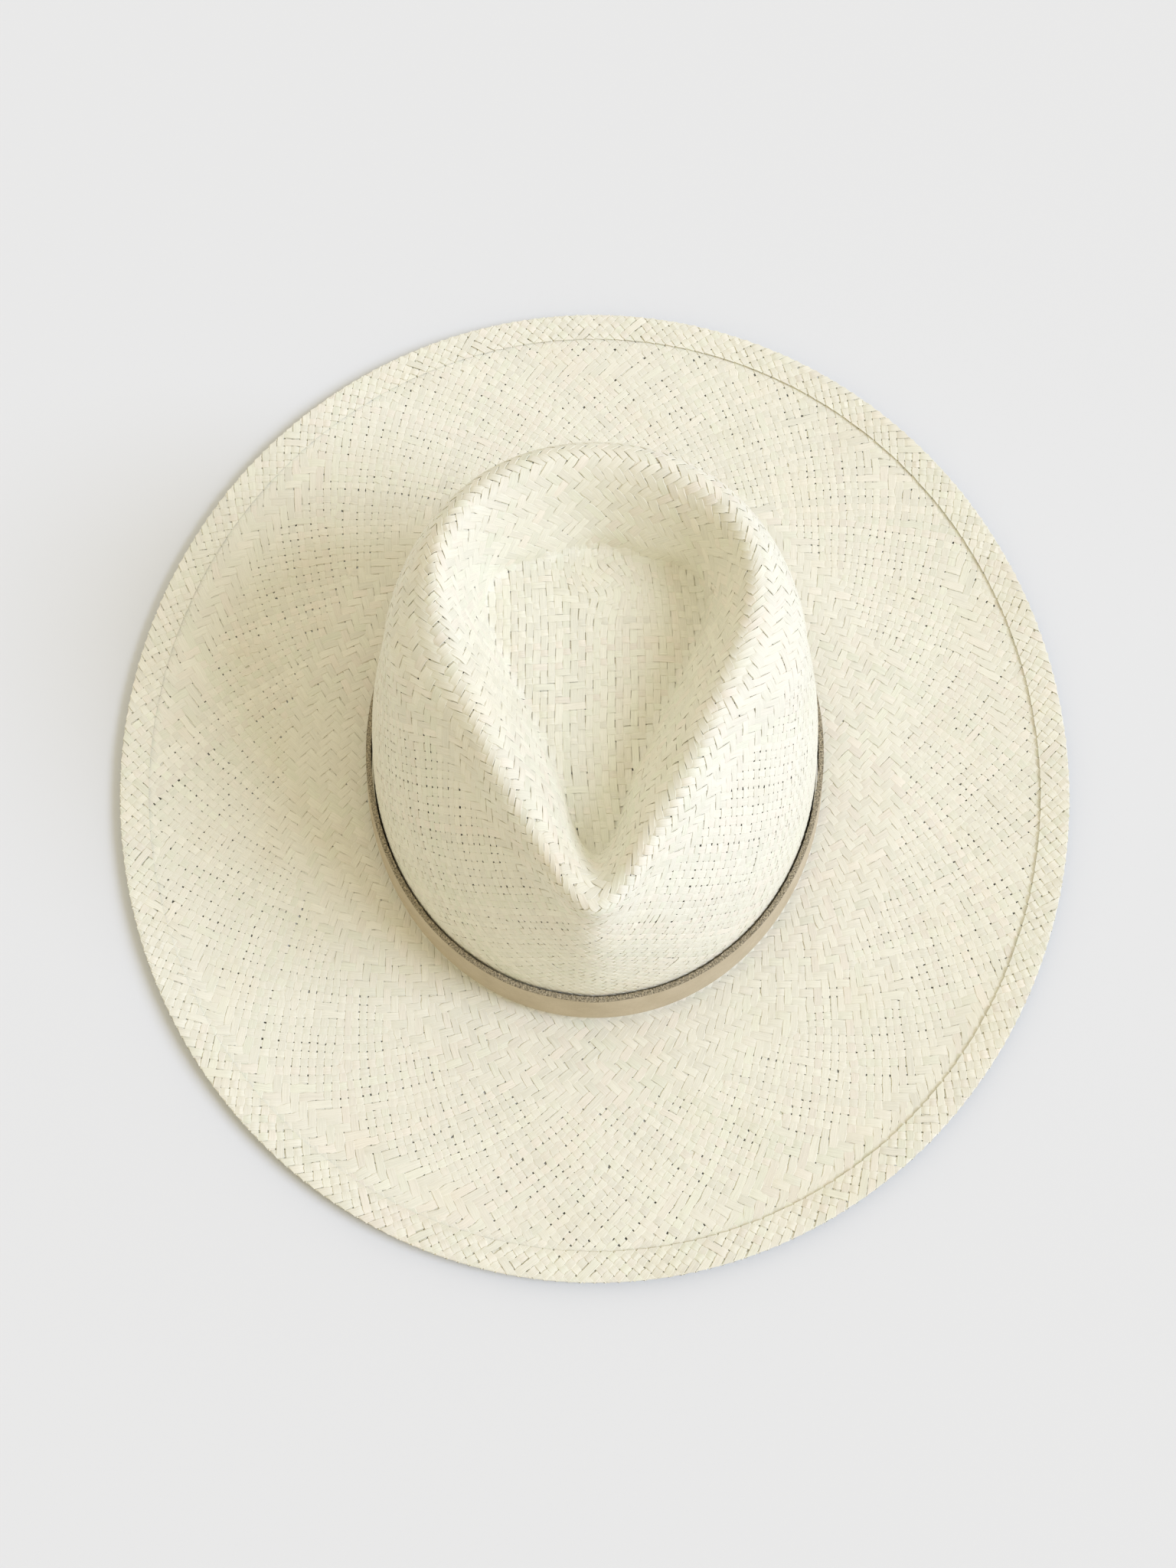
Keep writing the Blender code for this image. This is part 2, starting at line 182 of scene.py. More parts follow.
def spline(knots, values, at):
    """Cubic curve through values at the knots, level at both ends; values may have columns."""
    knots = np.asarray(knots, float)
    values = np.asarray(values, float)
    step = np.diff(knots)
    shape = (-1,) + (1,) * (values.ndim - 1)
    wide = step.reshape(shape)
    count = len(knots)
    system = np.eye(count)
    right = np.zeros_like(values)
    for i in range(1, count - 1):
        system[i, i - 1:i + 2] = step[i], 2 * (step[i - 1] + step[i]), step[i - 1]
        right[i] = 3 * ((values[i] - values[i - 1]) / wide[i - 1] * step[i]
                        + (values[i + 1] - values[i]) / wide[i] * step[i - 1])
    slope = np.linalg.solve(system, right.reshape(count, -1)).reshape(values.shape)
    at = np.atleast_1d(np.asarray(at, float))
    cell = np.clip(np.searchsorted(knots, at, side="right") - 1, 0, count - 2)
    h = step[cell].reshape(shape)
    u = ((at - knots[cell]) / step[cell]).reshape(shape)
    return (values[cell] * (1 + 2 * u) * (1 - u) ** 2 + values[cell + 1] * u * u * (3 - 2 * u)
            + slope[cell] * h * u * (1 - u) ** 2 - slope[cell + 1] * h * u * u * (1 - u))


def smooth(x):
    x = np.clip(x, 0, 1)
    return x * x * (3 - 2 * x)


def blend(first, second, share):
    return first * (1 - share) + second * share


def run_along(points):
    """Distance from the first point of a line to each of its points."""
    return np.concatenate([[0], np.cumsum(np.linalg.norm(np.diff(points, axis=0), axis=1))])


def oval(half, way):
    """Points of an upright-axis oval in the given directions."""
    return way / np.hypot(way[:, 0] / half[0], way[:, 1] / half[1])[:, None]


def crown_lines(angles):
    """Points of the crown's inside on each meridian, from the brim break to the dent's centre."""
    turn = np.abs((angles + pi / 2 + pi) % tau - pi)
    way = np.stack([np.cos(angles), np.sin(angles)], axis=1)
    base = oval(HEAD_HALF, way)
    crest = way * spline(TURN, CREST_RADIUS, turn)[:, None]
    floor = way * spline(TURN, FLOOR_RADIUS, turn)[:, None] + FLOOR_CENTRE
    high = spline(TURN, CREST_HEIGHT, turn)
    inset = spline(TURN, WALL_INSET.T, turn)
    rows = [np.column_stack([base, np.full(len(angles), BREAK_RADIUS)])]
    for k, share in enumerate(WALL_SHARE):
        rows.append(np.column_stack([base + (crest - base) * inset[:, k:k + 1], high * share]))
    rows.append(np.column_stack([crest, high]))
    centre = np.array(FLOOR_CENTRE)
    for share, drop in zip(DENT_SHARE, DENT_DROP):
        plan = crest + (floor - crest) * min(share, 1) + (centre - floor) * max(share - 1, 0)
        low = FLOOR_HEIGHT + FLOOR_SLOPE * (centre[1] - plan[:, 1])
        rows.append(np.column_stack([plan, high + (low - high) * drop]))
    rows.append(np.tile([*FLOOR_CENTRE, FLOOR_HEIGHT], (len(angles), 1)))
    return np.array(rows)


def chord_knots(lines):
    """Distance along the meridians to each of their points, taken all round."""
    chords = np.linalg.norm(np.diff(lines, axis=0), axis=2).mean(axis=1)
    return np.concatenate([[0], np.cumsum(chords)])


def crown_rings(angles, top, count):
    """Rings of the crown's inside, from the brim break up to a knot, and where the knots lie."""
    lines = crown_lines(angles)
    knots = chord_knots(lines)
    before = lines[0] - (lines[1] - lines[0]) * 0.5
    lines = np.concatenate([before[None], lines])
    ahead = np.concatenate([[-0.5 * knots[1]], knots])
    return spline(ahead, lines, np.linspace(0, knots[top], count)), knots


def inside_rows():
    """Rows of points on the underside and inside of the hat, from the brim's edge to the dent."""
    way = np.stack([np.cos(ROUND), np.sin(ROUND)], axis=1)
    edge, base = oval(BRIM_HALF, way), oval(HEAD_HALF, way)
    width = BRIM_HALF[0] - HEAD_HALF[0]
    flat_end = width * (1 - FLAT_OUT)
    rows = []
    for inset in np.linspace(0, width - BREAK_RADIUS, BRIM_RINGS, endpoint=False):
        height = EDGE_LIFT * max(0.0, 1 - inset / flat_end) ** 2
        rows.append(np.column_stack([edge + (base - edge) * inset / width, np.full(COLUMNS, height)]))
    for lean in np.linspace(0, pi / 2, BREAK_RINGS, endpoint=False):
        out = BREAK_RADIUS * (1 - sin(lean)) / np.linalg.norm(base, axis=1)
        height = BREAK_RADIUS * (1 - cos(lean))
        rows.append(np.column_stack([base * (1 + out)[:, None], np.full(COLUMNS, height)]))
    crown, knots = crown_rings(ROUND, FLOOR_EDGE + 1, CROWN_RINGS)
    return np.concatenate([np.array(rows), crown]), knots[FLOOR_EDGE] / knots[FLOOR_EDGE + 1]


def even_columns(rows):
    """The same rings with their points spaced evenly by length, from the back anticlockwise."""
    result = np.empty_like(rows)
    lengths = np.empty(len(rows))
    for k, ring in enumerate(rows):
        loop = np.vstack([ring, ring[:1]])
        run = run_along(loop)
        lengths[k] = run[-1]
        at = np.arange(COLUMNS) * run[-1] / COLUMNS
        for axis in range(3):
            result[k, :, axis] = np.interp(at, run, loop[:, axis])
    return result, lengths


def unit(vectors):
    return vectors / np.maximum(np.linalg.norm(vectors, axis=-1, keepdims=True), 1e-12)


def normals_of(rows):
    along = np.gradient(rows, axis=0)
    around = np.roll(rows, -1, axis=1) - np.roll(rows, 1, axis=1)
    return unit(np.cross(around, along))


class Form:
    """The middle surface of the woven straw, as rings of evenly spaced points."""

    def __init__(self):
        inside, share = inside_rows()
        inside, _ = even_columns(inside)
        self.grid, self.length = even_columns(inside + normals_of(inside) * CLOTH / 2)
        self.normal = normals_of(self.grid)
        self.around = unit(np.roll(self.grid, -1, axis=1) - np.roll(self.grid, 1, axis=1))
        self.run = chord_knots(self.grid)
        self.brim_row = len(self.grid) - CROWN_RINGS
        self.last_row = self.brim_row + share * (CROWN_RINGS - 1)

    def sample(self, table, row, share):
        """Values of a table at fractional rows and shares of the way round."""
        row = np.clip(row, 0, len(self.grid) - 1.001)
        column = (share % 1.0) * COLUMNS
        r0 = row.astype(int)
        c0 = column.astype(int) % COLUMNS
        c1 = (c0 + 1) % COLUMNS
        fr = (row - r0)[..., None]
        fc = (column - np.floor(column))[..., None]
        low = blend(table[r0, c0], table[r0, c1], fc)
        high = blend(table[r0 + 1, c0], table[r0 + 1, c1], fc)
        return blend(low, high, fr)


def patches(share, row, across, down, seed):
    """Soft random patches, -1 to 1, that repeat round the hat."""
    table = np.random.default_rng(seed).uniform(-1, 1, (64, across))
    x = (np.asarray(share) % 1.0) * across
    y = np.abs(np.asarray(row) / down)
    x0, y0 = np.floor(x).astype(int), np.floor(y).astype(int)
    fx, fy = smooth(x - x0), smooth(y - y0)
    x0, x1, y0, y1 = x0 % across, (x0 + 1) % across, y0 % 64, (y0 + 1) % 64
    low = blend(table[y0, x0], table[y0, x1], fx)
    return blend(low, blend(table[y1, x0], table[y1, x1], fx), fy)


def flip_some(state, seed, share):
    odd = np.random.default_rng(seed).uniform(size=len(state)) < share
    return np.where(odd, -state, state)


class Weave:
    """Rows of crossings from the edge inwards, and which of the two straws is on top at each."""

    def __init__(self, form):
        foot = form.run[form.brim_row]
        pitch = np.interp(form.run, (0, foot, foot + 0.11), (PITCH_EDGE, PITCH_HEAD, PITCH_TOP))
        wanted = form.length * sin(pi / 4) / pitch
        count = int(round(wanted[0]))
        row, last = 0.0, int(form.last_row)
        self.counts = [count]
        position = np.zeros(len(form.grid))
        for k in range(1, len(form.grid)):
            step = (form.run[k] - form.run[k - 1]) * 2 * count / form.length[k]
            before = row
            row += step
            position[k] = row
            if int(row) > int(before):
                if wanted[k] < THIN_AT * count and int(row) > BORDER_ROWS + 1:
                    count = int(round(count * THIN_TO))
                    row = float(int(row))
                    position[k] = row
                self.counts.append(count)
            if k <= last:
                self.rows = int(row)
        self.position = position
        self.counts = np.array(self.counts)
        self.brim_rows = position[form.brim_row]
        self.state = [self.row_state(r) for r in range(len(self.counts))]
        self.border_state = [self.border_row(r) for r in range(BORDER_ROWS + 2)]

    def openness(self, share, row):
        """Above 0 the weave is plain with pinholes, below it is a closed twill."""
        row = np.asarray(row, float)
        brim = row / self.brim_rows
        lean = np.where(brim < MIDDLE_ZONE, MIDDLE_LEAN, INNER_LEAN)
        lean = np.where(brim < OUTER_ZONE, OUTER_LEAN, lean)
        wall = (row - self.brim_rows) / (self.rows - self.brim_rows)
        front = np.cos((np.asarray(share) - 0.5) * tau)
        crown = np.where(wall < WALL_ZONE, WALL_LEAN + FRONT_LEAN * front, TOP_LEAN)
        lean = np.where(brim > 1, crown, lean)
        large, small = patches(share, row, 14, 7.0, 3), patches(share, row, 40, 3.0, 4)
        return lean + PATCH_LEAN[0] * large + PATCH_LEAN[1] * small

    def row_state(self, r):
        """+1 where the sunwise straw is on top, for each crossing of one row."""
        count = self.counts[r]
        share = (np.arange(count) + r / 2) / count
        plain = 1 if r % 2 else -1
        twill = 1 if r % 4 < 2 else -1
        state = np.where(self.openness(share, r) > 0, plain, twill)
        return flip_some(state, 1000 + r, ODD_CROSSINGS)

    def border_row(self, r):
        return flip_some(np.full(self.counts[0], 1 if r % 2 else -1), 2000 + r, BORDER_ODD)

    def strands(self, side):
        """Share of the way round and height of every straw of one side, row by row.

        Rows run from -BORDER_ROWS, the cut end in the border, through 0, the folded edge.
        """
        total = self.rows + 1
        count = self.counts[0]
        rows = np.arange(-BORDER_ROWS, total)
        share = np.full((count, len(rows)), np.nan)
        height = np.zeros((count, len(rows)))
        index = np.arange(count)
        alive = np.ones(count, bool)
        n = count
        for k, r in enumerate(rows):
            if r > 0 and self.counts[r] != n:
                m = self.counts[r]
                target = (index + side * (r - 0.5) / 2) * m / n - side * (r - 0.5) / 2
                near = np.round(target).astype(int)
                order = np.argsort(np.abs(target - near))
                taken = set()
                for s in order:
                    if not alive[s]:
                        continue
                    key = near[s] % m
                    if key in taken:
                        alive[s] = False
                    taken.add(key)
                index = near
                n = m
            place = (index + side * r / 2) / n
            share[alive, k] = place[alive]
            if r < 0:
                crossing = (index if side < 0 else index + r) % n
                state = -self.border_state[-r][crossing]
            else:
                crossing = (index if side > 0 else index - r) % n
                state = self.state[r][crossing]
            height[:, k] = side * state
        return rows, share, height


def soften(share, side, counts, rows):
    """Spread each sideways jump, where the number of straws changes, over a few crossings."""
    step = np.array([0.5 / counts[max(r, 0)] for r in rows])
    trend = side * np.concatenate([[0], np.cumsum(0.5 * (step[1:] + step[:-1]))])
    spare = share - trend
    live = ~np.isnan(spare)
    ends = live.sum(axis=1)
    last = spare[np.arange(len(spare)), np.maximum(ends - 1, 0)]
    filled = np.where(live, spare, last[:, None])
    padded = np.pad(filled, ((0, 0), (2, 2)), mode="edge")
    mild = sum(w * padded[:, k:k + filled.shape[1]] for k, w in enumerate((0.1, 0.2, 0.4, 0.2, 0.1)))
    return mild + trend, ends


def strand_runs(form, weave, side):
    """Ribbons of all straws of one side, from their cut ends in the border to the dent's floor."""
    rows, share, height = weave.strands(side)
    share, ends = soften(share, side, weave.counts, rows)
    count = len(share)
    chance = np.random.default_rng(70 + side)
    stray = chance.normal(size=(count, 1)) * STRAY_STRAW
    stray = stray + chance.normal(size=share.shape) * STRAY_CROSSING
    share = share + stray / weave.counts[np.clip(np.abs(rows), 0, len(weave.counts) - 1)]
    fine = np.concatenate([np.arange(-BORDER_ROWS * SAMPLES, 0) / SAMPLES, [-0.16, 0, 0.16],
                           np.arange(1, rows[-1] * SAMPLES + 1) / SAMPLES])
    at = fine - rows[0]
    low = np.minimum(at.astype(int), len(rows) - 2)
    part = at - low
    ways = blend(share[:, low], share[:, low + 1], part)
    out = blend(height[:, low], height[:, low + 1], smooth(part))
    place = np.maximum(np.abs(fine) - FOLD_SETBACK, 0.2)
    grid_row = np.interp(place, weave.position, np.arange(len(weave.position)))
    grid_row = np.tile(grid_row, (count, 1))
    point = form.sample(form.grid, grid_row, ways)
    up = unit(form.sample(form.normal, grid_row, ways))
    around = unit(form.sample(form.around, grid_row, ways))
    edgewise = np.cross(around, up)
    turn = np.clip(fine / FOLD_TURN, -1, 1) * pi / 2
    radius = BORDER_RISE / 2
    outside = edgewise * np.cos(turn)[:, None] - up * np.sin(turn)[:, None]
    centre = point + up * radius
    curl = chance.normal(size=(count, 1, 1)) * 0.1 + 1
    wall = (place - weave.brim_rows) / (weave.rows - weave.brim_rows)
    ridge = 1 + (RIDGE_RISE - 1) * smooth(1 - np.abs(wall - RIDGE_AT) / RIDGE_REACH)
    ridge = np.maximum(ridge, 1 + BORDER_PROUD * smooth((-fine - 0.3) / 0.8))
    rise = STRAW_RISE * ridge * (1 - DENT_CALM * smooth((wall - DENT_AT) / DENT_REACH))
    point = centre + outside * radius + outside * (out * rise)[..., None] * curl
    tangent = unit(np.gradient(point, axis=1))
    ring = np.interp(grid_row[0], np.arange(len(form.length)), form.length)
    number = weave.counts[np.clip(np.abs(fine).astype(int), 0, len(weave.counts) - 1)]
    pitch = ring / number * np.linalg.norm(np.cross(around, tangent), axis=-1)
    loose = smooth((weave.openness(ways, np.abs(fine)[None]) + 0.2) / 0.4)
    loose[:, fine < 0.5] = 0.8
    waist = np.sin(pi * fine) ** 2
    nearest = np.minimum(np.round(at).astype(int), len(rows) - 1)
    slack = chance.uniform(size=share.shape)[:, nearest] ** 2
    on_wall = WALL_WAIST * (WALL_SLACK[0] + WALL_SLACK[1] * slack)
    slack = np.where(wall > 0, on_wall, BRIM_SLACK[0] + BRIM_SLACK[1] * slack)
    fill = FILL_CLOSED - loose * (FILL_OPEN_LOSS + WAIST_LOSS * waist * slack)
    fill = fill - RIDGE_LOSS * (ridge - 1) / (RIDGE_RISE - 1)
    fill = fill + chance.normal(size=fill.shape) * CROSSING_WIDTHS
    body = 1 + chance.normal(size=(count, 1)) * STRAW_WIDTHS
    half = 0.5 * pitch * fill * body
    thick = STRAW_THICK * (1 + (RIDGE_THICK - 1) * (ridge - 1) / (RIDGE_RISE - 1))
    thick = np.broadcast_to(thick, half.shape)
    fold = smooth(1 - np.abs(fine) / FOLD_WIDE)[:, None]
    cut = smooth(1 - (fine + BORDER_ROWS) / 0.8)
    point = point - up * (cut * BORDER_SINK)[:, None]
    tones = np.column_stack([chance.normal(size=count), chance.normal(size=count),
                             chance.uniform(size=count), chance.uniform(size=count)])
    runs = []
    for s in range(count):
        end = min(len(fine), np.searchsorted(at, ends[s] + 1.2))
        shear = np.zeros(end)
        shear[0] = -side
        tail = slice(end - TUCK, end)
        dive = smooth(np.arange(1, TUCK + 1) / TUCK) * TUCK_DEPTH
        point[s, tail] -= up[s, tail] * dive[:, None]
        square = np.cross(tangent[s, :end], outside[s, :end]) + tangent[s, :end] * shear[:, None]
        wide = square * (1 - fold[:end]) - around[s, :end] * sqrt(2) * fold[:end]
        wide = wide * half[s, :end, None]
        runs.append((point[s, :end], outside[s, :end], wide, thick[s, :end], tones[s]))
    return runs


def top_surface():
    """Search tree of the crown's top, from its crest to the middle of the dent."""
    lines = crown_lines(ROUND)
    knots = chord_knots(lines)
    rings = spline(knots, lines, np.linspace(knots[5], knots[-1] * 0.999, TOP_RINGS))
    rings = rings + normals_of(rings) * CLOTH / 2
    index = np.arange(rings[..., 0].size).reshape(rings.shape[:2])
    low, high = index[:-1], index[1:]
    quads = np.stack([low, np.roll(low, -1, 1), np.roll(high, -1, 1), high], axis=-1).reshape(-1, 4)
    return BVHTree.FromPolygons(rings.reshape(-1, 3).tolist(), quads.tolist())


def floor_plan(across, along):
    """Where the dent's grid of straws really runs: bowed, and swirled at its start."""
    x = across * (1 + FLOOR_BOW * along ** 2) - FLOOR_SKEW[0] * along
    x = x + FLOOR_WANDER[0] * np.sin(along * 60 + across * 25)
    y = along + FLOOR_SKEW[1] * across + FLOOR_WANDER[1] * np.sin(across * 75 + along * 40)
    x_away, y_away = x - SWIRL[0], y - SWIRL[1]
    angle = SWIRL_TURN * np.exp(-(x_away ** 2 + y_away ** 2) / SWIRL_SIZE ** 2)
    return np.column_stack([SWIRL[0] + x_away * np.cos(angle) - y_away * np.sin(angle),
                            SWIRL[1] + x_away * np.sin(angle) + y_away * np.cos(angle)])


def floor_line(tree, way, offset, chance):
    """Points of one straw across the dent's floor, and how far along it they are."""
    along = np.arange(*FLOOR_REACH, PITCH_FLOOR / SAMPLES)
    offset = offset + chance.normal() * FLOOR_STRAY[0]
    offset = offset + FLOOR_STRAY[1] * np.sin(along * 260 + chance.uniform(0, tau))
    plan = floor_plan(offset, along) if way == "y" else floor_plan(along, offset)
    away = plan - FLOOR_CENTRE
    turn = np.abs((np.arctan2(away[:, 1], away[:, 0]) + pi / 2 + pi) % tau - pi)
    out = np.linalg.norm(away, axis=1) - spline(TURN, FLOOR_RADIUS, turn)
    keep = out < FLOOR_OVERLAP * chance.uniform(0.6, 1.3)
    if keep.sum() < 6:
        return None
    first, last = np.flatnonzero(keep)[[0, -1]]
    points, normals = [], []
    for x, y in plan[first:last + 1]:
        hit, normal, _, _ = tree.ray_cast(Vector((x, y, 0.2)), Vector((0, 0, -1)))
        points.append(hit)
        normals.append(normal if normal.z > 0 else -normal)
    return np.array(points), unit(np.array(normals)), along[first:last + 1]


def floor_runs():
    """Straight straws of the dent's floor, lengthwise and crosswise."""
    tree = top_surface()
    chance = np.random.default_rng(91)
    runs = []
    for way, lift in (("y", 1), ("x", -1)):
        for k, offset in enumerate(np.arange(-FLOOR_HALF, FLOOR_HALF, PITCH_FLOOR)):
            line = floor_line(tree, way, offset, chance)
            if line is None:
                continue
            point, normal, along = line
            cross = (along + FLOOR_HALF) / PITCH_FLOOR
            low = np.floor(cross).astype(int)
            here, there = floor_state(k, low, way), floor_state(k, low + 1, way)
            height = blend(here, there, smooth(cross - low)) * lift
            count = len(point)
            ends = np.minimum(np.arange(count), np.arange(count)[::-1])
            sink = smooth(1 - ends / TUCK) * TUCK_DEPTH
            point = point + normal * (height * FLOOR_PROUD * STRAW_RISE - sink)[:, None]
            tangent = unit(np.gradient(point, axis=0))
            level = np.linalg.norm(np.cross(tangent, normal)[:, :2], axis=1, keepdims=True)
            body = 1 + chance.normal() * STRAW_WIDTHS
            body = body + chance.normal(size=(count, 1)) * CROSSING_WIDTHS
            wide = np.cross(tangent, normal) * (0.5 * PITCH_FLOOR / level * body)
            tone = np.array([chance.normal(), chance.normal(), chance.uniform(), chance.uniform()])
            runs.append((point, normal, wide, np.full(count, STRAW_THICK), tone))
    return runs


def floor_state(own, other, way):
    """+1 where the lengthwise straw is on top: twill, with patches of longer lengthwise floats."""
    i, j = (own, other) if way == "y" else (other, own)
    long = (i + j) % 3 == 0
    twill = (i + 2 * ((i // 4) % 2) * j + j) % 4 < 2
    patch = np.sin(i * 0.55 + 1.0) + np.sin(j * 0.45 + 0.3 * i)
    return np.where(np.where(patch > 0.9, twill, long), -1.0, 1.0)


def fill(layer, kind, values):
    layer.foreach_set(kind, np.concatenate(values).astype(np.float32).ravel())


def ribbon_mesh(name, runs):
    """One mesh of ribbons; a run is (points, outwards, half width vectors, thickness, tone)."""
    corner = len(STRAW_PROFILE)
    across, lift = STRAW_PROFILE.T
    verts, faces, fibres, tones, unwraps = [], [], [], [], []
    base = 0
    for lane, (points, out, wide, thick, tone) in enumerate(runs):
        count = len(points)
        half = np.linalg.norm(wide, axis=1)
        ring = (points[:, None] + wide[:, None] * across[:, None]
                + out[:, None] * (lift * thick[:, None])[..., None])
        verts.append(ring.reshape(-1, 3))
        run = run_along(points)
        grain = np.empty((count, corner, 3))
        grain[..., 0] = across * half[:, None] / MM
        grain[..., 1] = run[:, None] / MM
        grain[..., 2] = tone[3] * 50
        fibres.append(grain.reshape(-1, 3))
        tones.append(np.tile(tone, (count * corner, 1)))
        k = np.arange(count - 1)[:, None] * corner + base
        c = np.arange(corner)[None]
        d = (c + 1) % corner
        faces.append(np.stack([k + d, k + c, k + c + corner, k + d + corner], axis=-1).reshape(-1, 4))
        last = base + (count - 1) * corner
        faces += [base + STRAW_CAP, last + STRAW_CAP[:, ::-1]]
        u = run / run[-1]
        v = (lane + 0.05 + 0.9 * np.arange(corner + 1) / corner) / len(runs)
        flat = np.empty((count - 1, corner, 4, 2))
        for slot, (a, b) in enumerate(((0, 1), (0, 0), (1, 0), (1, 1))):
            flat[:, :, slot, 0] = u[a:count - 1 + a, None]
            flat[:, :, slot, 1] = v[None, b:corner + b]
        unwraps.append(flat.reshape(-1, 2))
        ends = np.full((4, 4, 2), v[corner // 2])
        ends[:2, :, 0], ends[2:, :, 0] = 0.0, 1.0
        unwraps.append(ends.reshape(-1, 2))
        base += count * corner
    verts, faces = np.concatenate(verts), np.concatenate(faces)
    mesh = bpy.data.meshes.new(name)
    mesh.vertices.add(len(verts))
    mesh.vertices.foreach_set("co", verts.ravel())
    mesh.loops.add(faces.size)
    mesh.loops.foreach_set("vertex_index", faces.ravel().astype(np.int32))
    mesh.polygons.add(len(faces))
    mesh.polygons.foreach_set("loop_start", np.arange(0, faces.size, 4, dtype=np.int32))
    mesh.update(calc_edges=True)
    fill(mesh.attributes.new("fibre", "FLOAT_VECTOR", "POINT").data, "vector", fibres)
    fill(mesh.attributes.new("tone", "FLOAT_COLOR", "POINT").data, "color", tones)
    fill(mesh.uv_layers.new(name="OFBake").uv, "vector", unwraps)
    mesh.shade_smooth()
    mesh.set_sharp_from_angle(angle=SHARP)
    return mesh


def mesh_of(name, form):
    mesh = bpy.data.meshes.new(name)
    form.to_mesh(mesh)
    form.free()
    mesh.shade_smooth()
    return mesh


def link(name, data):
    thing = bpy.data.objects.new(name, data)
    bpy.context.scene.collection.objects.link(thing)
    return thing


def add(mesh, finish, body, slot, *nodes):
    """Put a mesh in the scene as a piece that rides on a body and stands for CAD nodes."""
    mesh.materials.append(finish)
    piece = link(mesh.name, mesh)
    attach(piece, body)
    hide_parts(*nodes)


# ---- materials ----
class Nodes:
    """A material and its node tree."""

    def __init__(self, name):
        self.material = bpy.data.materials.new(name)
        self.material.use_nodes = True
        self.tree = self.material.node_tree
        self.shader = self.tree.nodes["Principled BSDF"]

    def feed(self, socket, value):
        """Give a socket a value, or link it to another node's output."""
        if hasattr(value, "is_linked"):
            self.tree.links.new(value, socket)
        else:
            socket.default_value = value

    def add(self, kind, values=None, **settings):
        node = self.tree.nodes.new("ShaderNode" + kind)
        for key, value in settings.items():
            setattr(node, key, value)
        for key, value in (values or {}).items():
            self.feed(node.inputs[key], value)
        return node

    def attribute(self, name, output="Vector"):
        return self.add("Attribute", attribute_name=name).outputs[output]

    def math(self, operation, *values):
        return self.add("Math", dict(enumerate(values)), operation=operation).outputs[0]

    def scale(self, vector, by):
        return self.add("VectorMath", {0: vector, 1: by}, operation="MULTIPLY").outputs[0]

    def noise(self, vector, scale, detail=2.0, roughness=0.5):
        values = {"Vector": vector, "Scale": scale, "Detail": detail, "Roughness": roughness}
        return self.add("TexNoise", values).outputs["Fac"]

    def ramp(self, value, low, high, to_low=0.0, to_high=1.0):
        values = dict(enumerate((value, low, high, to_low, to_high)))
        return self.add("MapRange", values).outputs["Result"]

    def mix(self, share, first, second, blend="MIX"):
        node = self.add("Mix", data_type="RGBA", blend_type=blend)
        for socket, value in ((0, share), (6, first), (7, second)):
            self.feed(node.inputs[socket], value)
        return node.outputs[2]

    def bump(self, height, strength, distance):
        values = {"Height": height, "Strength": strength, "Distance": distance}
        return self.add("Bump", values).outputs["Normal"]

    def put(self, **sockets):
        """Set the shader's sockets; underscores stand for spaces."""
        for key, value in sockets.items():
            self.feed(self.shader.inputs[key.replace("_", " ")], value)
        return self.material


def straw_finish():
    made = Nodes("straw")
    fibre = made.attribute("fibre")
    tone = made.attribute("tone", "Color")
    warm, bright, _ = made.add("SeparateColor", {"Color": tone}).outputs
    pale, green, pink = (0.86, 0.85, 0.725, 1), (0.84, 0.85, 0.705, 1), (0.87, 0.83, 0.715, 1)
    colour = made.mix(made.ramp(warm, 0.3, 2.2), pale, pink)
    colour = made.mix(made.ramp(warm, -0.3, -2.2), colour, green)
    patch = made.noise(made.add("TexCoord").outputs["Object"], 38.0, 3.0)
    colour = made.mix(made.ramp(patch, 0.52, 0.72, 0.0, 0.25), colour, (0.82, 0.76, 0.58, 1))
    streak = made.noise(made.scale(fibre, (5.0, 0.10, 1.0)), 1.0, 3.0, 0.6)
    shade = made.math("ADD", made.ramp(bright, -2.0, 2.0, -0.05, 0.05),
                      made.ramp(streak, 0.3, 0.7, 0.90, 1.05))
    dark = made.add("CombineColor", {"Red": shade, "Green": shade, "Blue": shade}).outputs[0]
    colour = made.mix(1.0, colour, dark, "MULTIPLY")
    return made.put(Base_Color=colour, Roughness=made.ramp(streak, 0.3, 0.7, 0.42, 0.62),
                    Normal=made.bump(streak, 0.35, 0.0001), Specular_IOR_Level=0.35)


def leather_finish(name, face, deep, edge):
    """Leather: a fine pebbled face with soft mottling, and a fibrous cut edge."""
    made = Nodes(name)
    flat = made.attribute("flat")
    cut = made.attribute("cut", "Fac")
    mottle = made.noise(flat, 0.07, 4.0, 0.6)
    fine = made.noise(flat, 0.9, 3.0, 0.6)
    pores = made.add("TexVoronoi", {"Vector": flat, "Scale": 2.3}).outputs["Distance"]
    colour = made.mix(made.ramp(mottle, 0.35, 0.65), (*face, 1), (*deep, 1))
    colour = made.mix(made.ramp(fine, 0.35, 0.70, 0.0, 0.35), colour, (*deep, 1))
    fibre = made.noise(made.scale(flat, (1.7, 1.3, 1.0)), 1.0, 5.0, 0.8)
    raw = made.mix(made.ramp(fibre, 0.42, 0.60), (*(0.20 * c for c in edge), 1), (*edge, 1))
    colour = made.mix(cut, colour, raw)
    height = made.math("ADD", made.math("MULTIPLY", pores, 0.5), made.math("MULTIPLY", fibre, cut))
    return made.put(Base_Color=colour, Roughness=made.ramp(fine, 0.3, 0.7, 0.50, 0.68),
                    Normal=made.bump(height, 0.5, 0.00012), Specular_IOR_Level=0.3)


